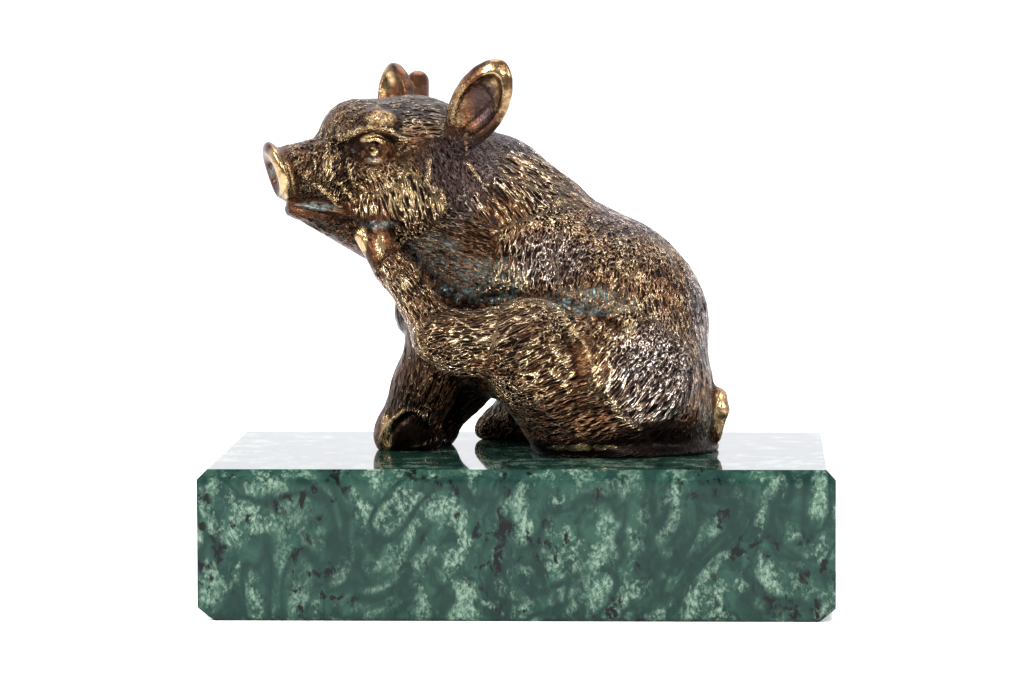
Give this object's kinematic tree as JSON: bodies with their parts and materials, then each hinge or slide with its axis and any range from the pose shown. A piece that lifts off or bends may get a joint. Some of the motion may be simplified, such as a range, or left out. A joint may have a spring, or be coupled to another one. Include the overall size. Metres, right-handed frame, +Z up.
{
  "type": "animal sculpture",
  "caption": "Small patinated bronze piglet that sits on its haunch and scratches its chin with a raised hind foot, on a bevelled block of polished green marble",
  "frame": {"origin": "middle of the plinth's underside", "axes": "+Z up, +X along the plinth's length towards the piglet's rump, so the snout points to -X; -Y is the piglet's left side, the side with the raised hind leg"},
  "size_m": [0.084, 0.055, 0.073],
  "materials": {
    "patinated_bronze": "dark brown patina with gold worn ridges and a little blue green in the hollows",
    "green_marble": "polished dark green serpentine marble with pale green blotches"
  },
  "bodies": {
    "root": {"piglet": "patinated_bronze", "plinth": "green_marble"}
  },
  "joints": []
}
